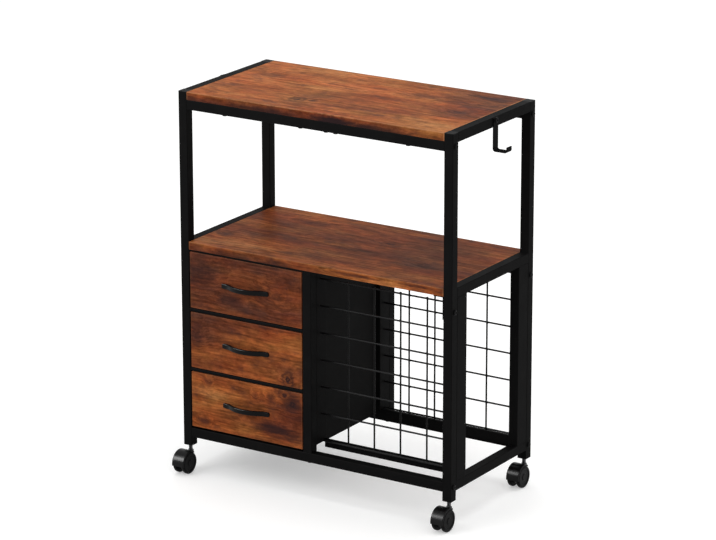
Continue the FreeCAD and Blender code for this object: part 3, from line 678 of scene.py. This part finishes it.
def bindRim(name, low, high, shape, tape):
    # folded tape over the raw edge, outside and inside
    mesh = bmesh.new()
    rings = []
    wall = shape["wall"]
    proud = tape["proud"]
    drop = tape["drop"]
    crown = -proud * tape["crownUp"]
    outside = [(-proud, drop), (-proud, drop / 2), (-proud, tape["fold"]), (-proud * tape["crownIn"], crown)]
    inside = [(wall + proud * tape["crownIn"], crown), (wall + proud, tape["fold"]),
              (wall + proud, drop / 2), (wall + proud, drop)]
    back = [(wall + tape["skin"], drop), (wall / 2, tape["tuck"]), (-tape["skin"], drop)]
    for inset, depth in outside + inside + back:
        path = rimPath(low, high, shape, inset, max(depth, 0.0))
        lift = -min(depth, 0.0)
        rings.append(addRing(mesh, [spot for spot, _, _ in path], [level + lift for _, _, level in path]))
    for lower, upper in zip(rings, rings[1:] + rings[:1]):
        bridgeRings(mesh, lower, upper)
    bmesh.ops.recalc_face_normals(mesh, faces=mesh.faces)
    mapCloth(mesh, False)
    return finishMesh(mesh, name, finishes["binCloth"])


def newTree(name, inputs):
    tree = bpy.data.node_groups.new(name, "GeometryNodeTree")
    for label, kind in [("Geometry", "NodeSocketGeometry")] + inputs:
        tree.interface.new_socket(name=label, in_out="INPUT", socket_type=kind)
    tree.interface.new_socket(name="Geometry", in_out="OUTPUT", socket_type="NodeSocketGeometry")
    return tree, addNode(tree, "NodeGroupInput"), addNode(tree, "NodeGroupOutput")


def endTree(tree, end, placed, material):
    # real faces with their finish, because the export drops instances
    real = addNode(tree, "GeometryNodeRealizeInstances", {"Geometry": placed.outputs[0]})
    done = addNode(tree, "GeometryNodeSetMaterial", {"Geometry": real.outputs[0], "Material": material})
    tree.links.new(done.outputs[0], end.inputs[0])


def makeStitchTree(sides):
    tree, start, end = newTree("stitchRun", [("Gap", "NodeSocketFloat"), ("Length", "NodeSocketFloat"),
                                             ("Radius", "NodeSocketFloat"), ("Thread", "NodeSocketMaterial")])
    line = addNode(tree, "GeometryNodeMeshToCurve", {"Mesh": start.outputs["Geometry"]})
    spread = addNode(tree, "GeometryNodeCurveToPoints",
                     {"Curve": line.outputs[0], "Length": start.outputs["Gap"]}, mode="LENGTH")
    stitch = addNode(tree, "GeometryNodeMeshCylinder", {"Vertices": sides, "Radius": start.outputs["Radius"],
                                                        "Depth": start.outputs["Length"]})
    placed = addNode(tree, "GeometryNodeInstanceOnPoints", {"Points": spread.outputs["Points"],
                                                            "Instance": stitch.outputs["Mesh"],
                                                            "Rotation": spread.outputs["Rotation"]})
    endTree(tree, end, placed, start.outputs["Thread"])
    return tree


def applyTree(name, source, tree, values):
    # run a geometry tree on a helper mesh and keep only its plain result
    helper = bpy.data.objects.new(name + "Helper", source)
    bpy.context.collection.objects.link(helper)
    modifier = helper.modifiers.new(tree.name, "NODES")
    modifier.node_group = tree
    for item in tree.interface.items_tree:
        if item.in_out == "INPUT" and item.name in values:
            modifier[item.identifier] = values[item.name]
    graph = bpy.context.evaluated_depsgraph_get()
    result = bpy.data.meshes.new_from_object(helper.evaluated_get(graph))
    helper.modifiers.remove(modifier)
    bpy.data.objects.remove(helper)
    made = bpy.data.objects.new(name, result)
    bpy.context.collection.objects.link(made)
    return made


def loopMesh(name, loops):
    # closed or open runs of edges for a tree to follow
    data = bpy.data.meshes.new(name)
    places = []
    edges = []
    for run, closed in loops:
        first = len(places)
        places.extend(run)
        edges.extend((first + index, first + index + 1) for index in range(len(run) - 1))
        if closed:
            edges.append((first + len(run) - 1, first))
    data.from_pydata(places, edges, [])
    return data


def stitchRuns(low, high, shape, tape, stitch):
    runs = []
    for inset in (-tape["proud"], shape["wall"] + tape["proud"]):
        path = rimPath(low, high, shape, inset, tape["drop"] * stitch["rimShare"])
        runs.append(([(spot.x, spot.y, level) for spot, _, level in path], True))
    # one seam down each free corner
    height = high.z - low.z
    loop = binOutline(low, high, shape, shape["clear"] - stitch["seamLift"])
    run = shape["sideSteps"] + shape["cornerSteps"]
    for corner in range(1, 3):
        index = corner * run + shape["sideSteps"] + shape["cornerSteps"] // 2
        entry = loop[index % len(loop)]
        seam = []
        for step in range(stitch["seamSteps"]):
            along = step / (stitch["seamSteps"] - 1)
            share = stitch["seamFrom"] + (stitch["seamTo"] - stitch["seamFrom"]) * along
            spot = clothPoint(entry, share * height, height, shape)
            seam.append((spot.x, spot.y, low.z + share * height))
        runs.append((seam, False))
    return runs


stitchTree = makeStitchTree(stitchShape["sides"])
for drawer in ("bottom", "middle", "top"):
    binNode = drawer + "_drawer_bin"
    low, high = (Vector(corner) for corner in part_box(binNode))
    body = drawer + "_drawer"
    shell = sewBin(drawer + "BinShell", low, high, binShape)
    tape = bindRim(drawer + "BinTape", low, high, binShape, tapeShape)
    runs = loopMesh(drawer + "StitchPath", stitchRuns(low, high, binShape, tapeShape, stitchShape))
    thread = applyTree(drawer + "BinStitches", runs, stitchTree,
                       {"Gap": stitchShape["gap"], "Length": stitchShape["length"],
                        "Radius": stitchShape["radius"], "Thread": finishes["binThread"]})
    for piece in (shell, tape, thread):
        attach(piece, body)
    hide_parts(binNode)
print("drawer bins sewn")


# welds where the rack's wires cross and in the corners of the side frames

beadRoundness = 2
weldShape = {"radius": 0.0019, "stretch": (1.5, 0.9, 1.5), "rows": 7, "columns": 4, "wire": 0.002}
seamShape = {"radius": 0.0016, "stretch": (0.8, 1.0, 1.0), "step": 0.0014, "inset": 0.0016, "tube": 0.022,
             "wobble": 0.00018, "wobbleStep": 2.3, "wobbleRise": 90.0,
             "left_side_frame": (0.0825, 0.1045, 0.517, 0.539, 0.857),
             "right_side_frame": (0.0825, 0.539, 0.857)}


def makeWeldTree(roundness):
    tree, start, end = newTree("wireWelds", [("Radius", "NodeSocketFloat"), ("Stretch", "NodeSocketVector"),
                                             ("Coat", "NodeSocketMaterial")])
    bead = addNode(tree, "GeometryNodeMeshIcoSphere",
                   {"Radius": start.outputs["Radius"], "Subdivisions": roundness})
    points = addNode(tree, "GeometryNodeMeshToPoints", {"Mesh": start.outputs["Geometry"]})
    placed = addNode(tree, "GeometryNodeInstanceOnPoints", {"Points": points.outputs[0],
                                                            "Instance": bead.outputs[0],
                                                            "Scale": start.outputs["Stretch"]})
    endTree(tree, end, placed, start.outputs["Coat"])
    return tree


def weldPoints(node, shape):
    low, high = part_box(node)
    pitch = (high[0] - low[0]) / (shape["columns"] + 1)
    bottom = low[2] + shape["wire"]
    rise = (high[2] - low[2] - 2 * shape["wire"]) / (shape["rows"] - 1)
    middle = (low[1] + high[1]) / 2
    places = []
    for row in range(shape["rows"]):
        for column in range(1, shape["columns"] + 1):
            places.append((low[0] + pitch * column, middle, bottom + rise * row))
    return places


def seamPoints(node, shape):
    # a run of beads across the tube, above or below each rail where it meets a post
    low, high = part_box(node)
    count = int((shape["tube"] - 2 * shape["inset"]) / shape["step"]) + 1
    places = []
    for level in shape[node]:
        for corner in (low[1] + shape["tube"], high[1] - shape["tube"]):
            for step in range(count):
                phase = shape["wobbleStep"] * step + shape["wobbleRise"] * level
                wobble = shape["wobble"] * math.sin(phase)
                across = low[0] + shape["inset"] + shape["step"] * step
                places.append((across, corner + wobble, level - wobble))
    return places


def weldOn(node, places, shape, coat):
    dots = loopMesh(node + "WeldPoints", [([place], False) for place in places])
    welds = applyTree(node + "_welds", dots, weldTree,
                      {"Radius": shape["radius"], "Stretch": shape["stretch"], "Coat": finishes[coat]})
    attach(welds, "cart")


weldTree = makeWeldTree(beadRoundness)
for grid in ("front_roll_grid", "rear_roll_grid"):
    weldOn(grid, weldPoints(grid, weldShape), weldShape, "wirePaint")
for side in ("left_side_frame", "right_side_frame"):
    weldOn(side, seamPoints(side, seamShape), seamShape, "framePaint")
print("rack wires and side frames welded")


# studio: pale floor, soft light, camera of the photograph

floorLook = {"size": 60.0, "sides": 96, "color": (0.80, 0.80, 0.795), "speck": (0.78, 0.78, 0.775),
             "speckScale": 3.0, "rough": 0.9, "specular": 0.1, "glow": 0.34}
worldLook = {"light": 0.80}
lightPlan = [
    {"name": "keyPanel", "at": (-2.6, -4.2, 4.2), "size": 3.2, "power": 70.0},
    {"name": "fillPanel", "at": (4.6, -2.2, 2.6), "size": 3.0, "power": 26.0},
    {"name": "topPanel", "at": (0.2, 0.8, 4.6), "size": 3.4, "power": 60.0},
    {"name": "sheenPanel", "at": (-4.4, -3.7, 3.3), "size": 4.0, "tall": 2.4, "power": 820.0,
     "sheenOnly": True},
]
cameraPlan = {"at": (4.05397, -6.31979, 2.77802), "yaw": 0.56832, "pitch": 0.29603, "roll": -0.001385,
              "lens": 179.79, "sensor": 36.0, "farthest": 100.0}
lightTarget = Vector((0.0, 0.0, 0.45))


def seenRays(tree):
    # 1 for what the eye sees straight, in gloss or through glass, 0 for light that falls on the cart
    path = addNode(tree, "ShaderNodeLightPath")
    seen = calc(tree, "MAXIMUM", path.outputs["Is Camera Ray"], path.outputs["Is Glossy Ray"])
    return calc(tree, "MAXIMUM", seen, path.outputs["Is Transmission Ray"])


def makeFloor(look):
    mesh = bmesh.new()
    bmesh.ops.create_circle(mesh, cap_ends=True, segments=look["sides"], radius=look["size"])
    material, tree, shader, coords = newMaterial("studioFloor")
    speck = noiseAt(tree, coords, look["speckScale"])
    color = blendColors(tree, speck, (*look["color"], 1.0), (*look["speck"], 1.0))
    tree.links.new(color, shader.inputs["Base Color"])
    shader.inputs["Roughness"].default_value = look["rough"]
    shader.inputs["Specular IOR Level"].default_value = look["specular"]
    shader.inputs["Emission Color"].default_value = (1.0, 1.0, 1.0, 1.0)
    tree.links.new(calc(tree, "MULTIPLY", seenRays(tree), look["glow"]), shader.inputs["Emission Strength"])
    floor = finishMesh(mesh, "studioFloor", material, False)


def makeWorld(look):
    world = bpy.data.worlds.new("studioWorld")
    world.use_nodes = True
    bpy.context.scene.world = world
    tree = world.node_tree
    back = tree.nodes["Background"]
    back.inputs["Color"].default_value = (1.0, 1.0, 1.0, 1.0)
    tree.links.new(remap(tree, seenRays(tree), 0.0, 1.0, look["light"], 1.0), back.inputs["Strength"])


def makeLights(plan):
    for entry in plan:
        lamp = bpy.data.lights.new(entry["name"], "AREA")
        lamp.size = entry["size"]
        if "tall" in entry:
            lamp.shape = "RECTANGLE"
            lamp.size_y = entry["tall"]
        lamp.energy = entry["power"]
        made = bpy.data.objects.new(entry["name"], lamp)
        made.location = entry["at"]
        made.rotation_euler = (lightTarget - Vector(entry["at"])).to_track_quat("-Z", "Y").to_euler()
        made.visible_diffuse = not entry.get("sheenOnly", False)  # a sheen panel shows in gloss alone
        bpy.context.collection.objects.link(made)


def makeCamera(plan):
    data = bpy.data.cameras.new("photoCamera")
    data.lens = plan["lens"]
    data.sensor_width = plan["sensor"]
    data.clip_end = plan["farthest"]
    made = bpy.data.objects.new("photoCamera", data)
    made.location = plan["at"]
    turned = Matrix.Rotation(plan["yaw"], 4, "Z") @ Matrix.Rotation(math.pi / 2 - plan["pitch"], 4, "X")
    made.rotation_euler = (turned @ Matrix.Rotation(plan["roll"], 4, "Z")).to_euler()
    bpy.context.collection.objects.link(made)
    bpy.context.scene.camera = made


makeFloor(floorLook)
makeWorld(worldLook)
makeLights(lightPlan)
makeCamera(cameraPlan)
bpy.context.scene.view_settings.view_transform = "Standard"
print("studio ready")
